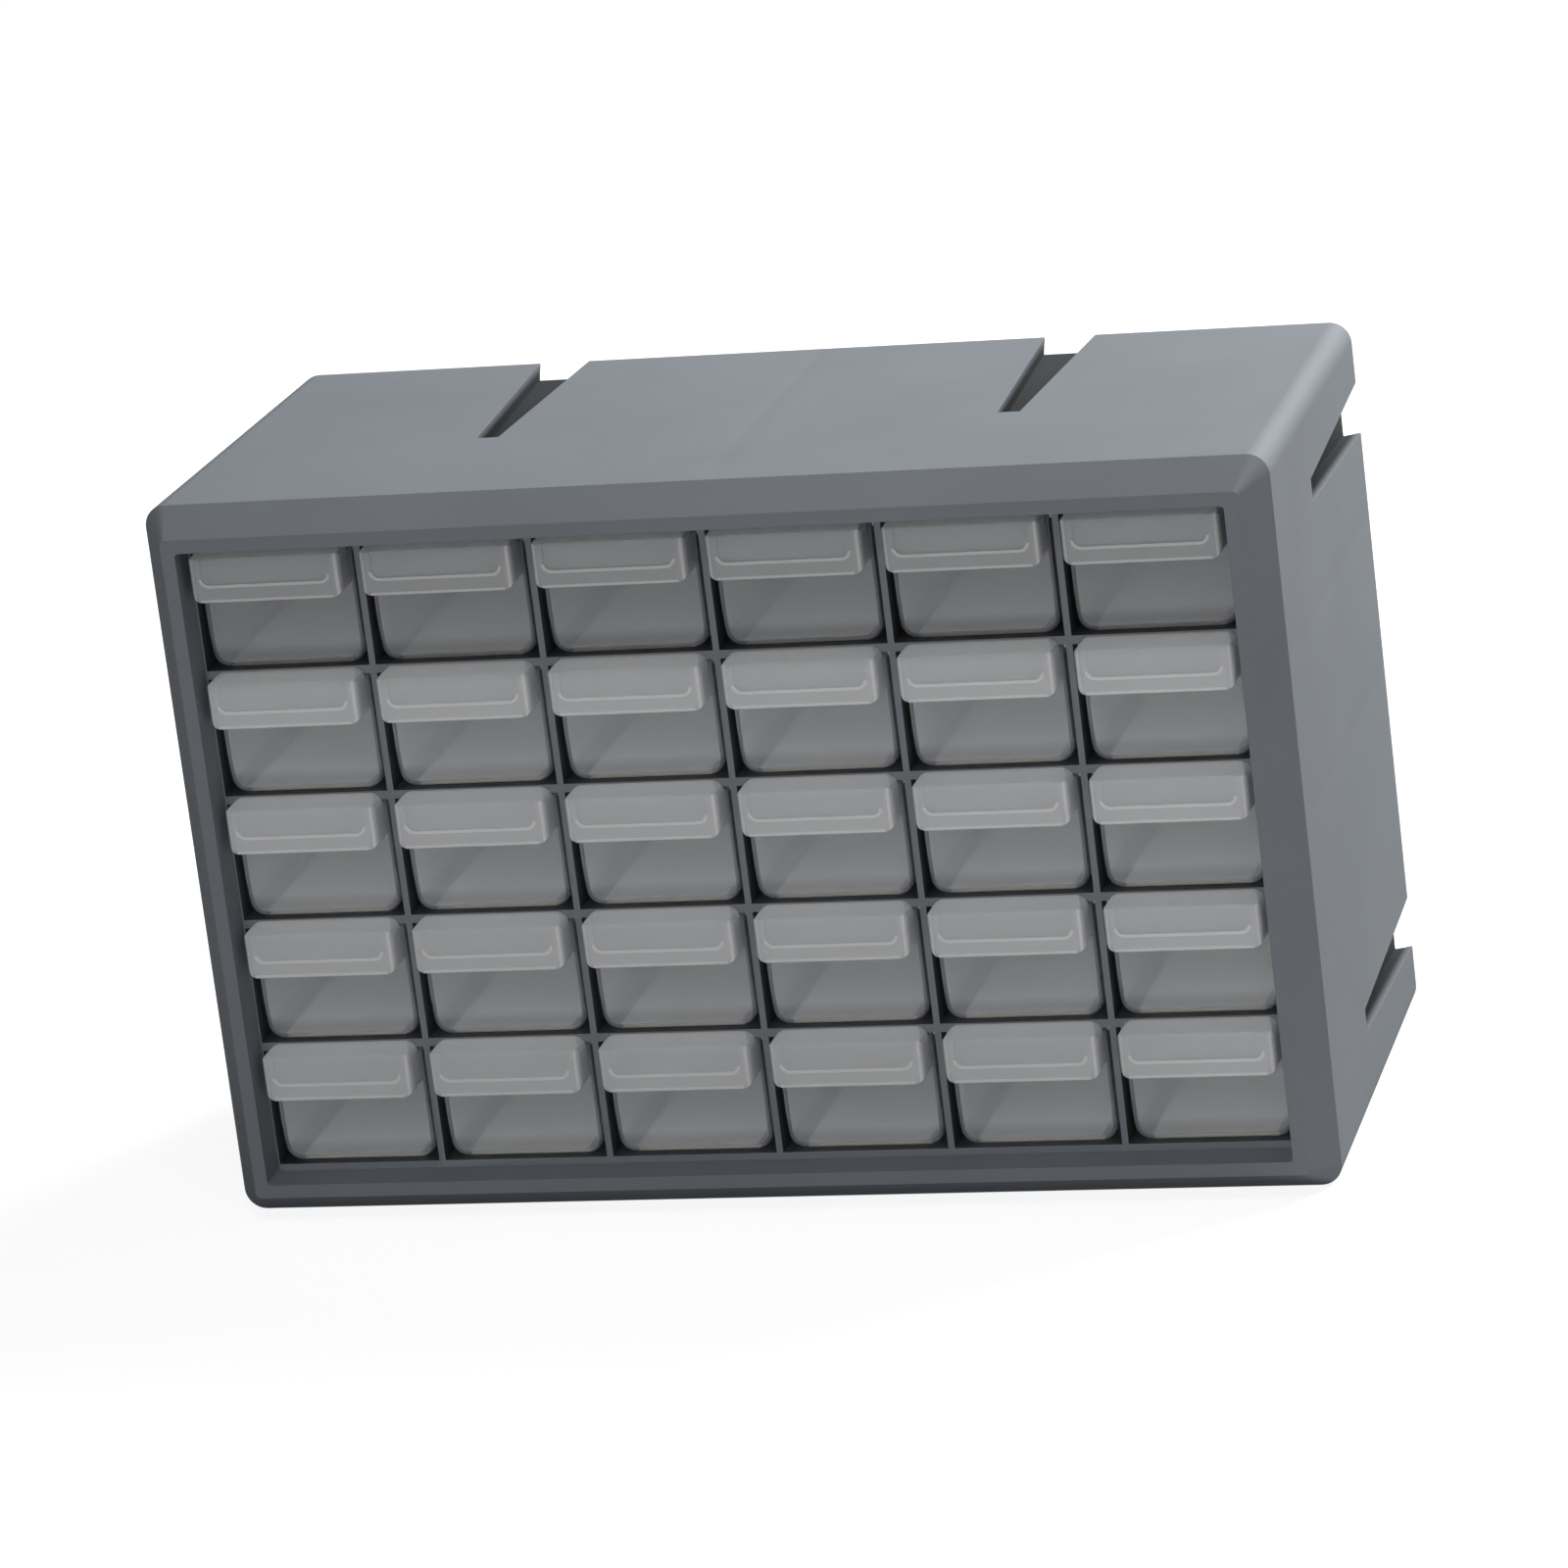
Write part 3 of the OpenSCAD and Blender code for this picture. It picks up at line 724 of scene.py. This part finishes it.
def on_pull_top(i, p):
    return on_pull(i, p) and p.z > FOLD_Z - CLOSE


# The faces that take the painted highlight.
def on_pull_edge(i, p):
    bead_face = p.z < PULL_LOW + BEAD_H + CLOSE and p.y < PULL_Y + BEAD_BACK + 0.2
    lip_face = CROWN_Y - CLOSE < p.y < LIP_Y + CLOSE and p.z > TRAY_TOP - 0.5
    end_face = END_HIGHLIGHT_LINE[0] < PULL_W / 2 - abs(p.x) < END_HIGHLIGHT_LINE[1] and p.y < PULL_Y + 1.0
    ledge_face = p.y < PULL_Y - 0.02
    return on_pull(i, p) and (bead_face or lip_face or end_face or ledge_face)


# The top-row factors darken the top row as painted shade; the default factor holds for the walls, corners and
# edges.
tray.data.materials.append(frosted_plastic(
    "drawer_plastic", (0.99, 0.965, 0.905, 1), rough=0.40, clear=0.03, milky=0.3, top_row_shade=0.85))
for slot, (test, plastic) in enumerate((
        # The front's foot colour is painted shade along the drawer's foot.
        (on_front, frosted_plastic("drawer_front_plastic", (0.955, 0.975, 1.0, 1), rough=0.12, clear=0.85,
                                   top_row_shade=0.92, foot=(0.66, 0.68, 0.71, 1))),
        # Painted shade: the side walls are a darker grey copy of the plastic, so they show shaded through the
        # front.
        (on_wall, frosted_plastic("drawer_wall_painted_shade", (0.58, 0.59, 0.61, 1), rough=0.40, clear=0.20,
                                  milky=0.3)),
        # Painted shade: the crease between the side walls and the floor is darker still.
        (on_corner, frosted_plastic("drawer_corner_painted_shade", (0.46, 0.47, 0.495, 1), rough=0.30, clear=0.15,
                                    milky=0.4)),
        (on_pull, frosted_plastic("pull_plastic", (0.755, 0.77, 0.795, 1), rough=0.42, clear=0.12, milky=1.0,
                                  top_row_shade=0.66)),
        # Painted light: the hood tops are a lighter copy of the pull's plastic, as if lit from above.
        (on_pull_top, frosted_plastic("pull_top_painted_light", (0.97, 0.98, 0.99, 1), rough=0.42, clear=0.0,
                                      milky=0.6, top_row_shade=1.0)),
        # Painted highlight: the bead, the stop lip, the ledge and a line near each end of the pull are near
        # white, as edges catching light.
        (on_pull_edge, frosted_plastic("pull_edge_painted_highlight", (0.99, 0.99, 0.99, 1), rough=0.35, clear=0.0,
                                       milky=0.3)),
), start=1):
    tray.data.materials.append(plastic)
    coat(tray, slot, test)

for r in range(1, ROWS + 1):
    for c in range(1, COLS + 1):
        alone(tray)
        bpy.ops.object.duplicate(linked=False)
        drawer = bpy.context.object
        drawer.name = f"look_r{r}_c{c}"
        node = f"drawer_r{r}_c{c}"
        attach(settle(drawer, column_x(c), shelf_z(r)), node)
        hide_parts(node)
bpy.data.objects.remove(tray)


# The paper floor, the studio's soft lamps and the white air round them, and the camera.
# None of it is part of the cabinet. The floor glows for the camera alone: it shows white and keeps
# the cabinet's shadow, and lights nothing.
FLOOR_SIZE = 12.0
FLOOR_GREY = (0.45, 0.45, 0.45, 1)
FLOOR_GLOW = 0.87
WHITE = (1, 1, 1, 1)

bpy.ops.object.select_all(action="DESELECT")
bpy.ops.mesh.primitive_plane_add(size=FLOOR_SIZE, location=(0, 0, 0))
floor = bpy.context.object
floor.name = "floor"
paper, start = material("floor_paper")
matt = start.add("ShaderNodeBsdfDiffuse", inputs={"Color": FLOOR_GREY})
glow = start.add("ShaderNodeEmission", inputs={"Color": WHITE, "Strength": FLOOR_GLOW})
glowing = start.add("ShaderNodeAddShader", inputs={0: matt, 1: glow})
camera_ray = start.add("ShaderNodeLightPath", out="Is Camera Ray")
shown = start.add("ShaderNodeMixShader", inputs={0: camera_ray, 1: matt, 2: glowing})
start.add("ShaderNodeOutputMaterial", inputs={"Surface": shown})
floor.data.materials.append(paper)

LAMP_AIM = Vector((0, 0, 0.12))


def lamp(name, place, size, watts):
    """A square soft lamp, turned to the middle of the cabinet."""
    light = bpy.data.lights.new(name, "AREA")
    light.shape = "SQUARE"
    light.size = size
    light.energy = watts
    made = bpy.data.objects.new(name, light)
    bpy.context.scene.collection.objects.link(made)
    made.location = place
    made.rotation_euler = (LAMP_AIM - Vector(place)).to_track_quat("-Z", "Y").to_euler()


lamp("key_lamp", (0.93, 1.1, 1.43), size=1.1, watts=46)
lamp("front_lamp", (0.1, -2.5, 0.3), size=1.4, watts=19.5)
lamp("upper_lamp", (0.1, -0.75, 2.1), size=0.9, watts=5)

AIR_LIGHT = 0.06
AIR_IN_GLOSS = 0.16
world = bpy.data.worlds.new("studio")
bpy.context.scene.world = world
world.use_nodes = True
world.node_tree.nodes.clear()
sky = Sock(world.node_tree)
camera_ray, glass_ray, gloss_ray = (
    sky.add("ShaderNodeLightPath", out=f"Is {ray} Ray") for ray in ("Camera", "Transmission", "Glossy"))
seen = sky.math("MAXIMUM", camera_ray, glass_ray)
strength = AIR_LIGHT + seen * (1 - AIR_LIGHT) + gloss_ray * AIR_IN_GLOSS
back = sky.add("ShaderNodeBackground", inputs={"Color": WHITE, "Strength": strength})
sky.add("ShaderNodeOutputWorld", inputs={"Surface": back})

# The camera of the photograph, from a fit to the cabinet's edges in it.
PICTURE_PX = 1600
FOCAL_PX = 8016.4
SENSOR = 36.0
YAW = math.radians(16.2416)
PITCH = math.radians(17.5852)
ROLL = math.radians(7.1352)
EYE = Vector((0.70403, -2.34400 - BODY_D / 2000, 0.92318))
ahead = Vector((-math.sin(YAW) * math.cos(PITCH), math.cos(YAW) * math.cos(PITCH), -math.sin(PITCH)))
level = Vector((math.cos(YAW), math.sin(YAW), 0))
down = ahead.cross(level)
right = math.cos(ROLL) * level + math.sin(ROLL) * down
down = math.cos(ROLL) * down - math.sin(ROLL) * level
lens = bpy.data.cameras.new("camera")
lens.sensor_width = SENSOR
lens.lens = FOCAL_PX * SENSOR / PICTURE_PX
lens.clip_end = 50
camera = bpy.data.objects.new("camera", lens)
bpy.context.scene.collection.objects.link(camera)
camera.matrix_world = Matrix.Translation(EYE) @ Matrix((right, -down, -ahead)).transposed().to_4x4()
bpy.context.scene.camera = camera
bpy.context.scene.view_settings.view_transform = "Standard"
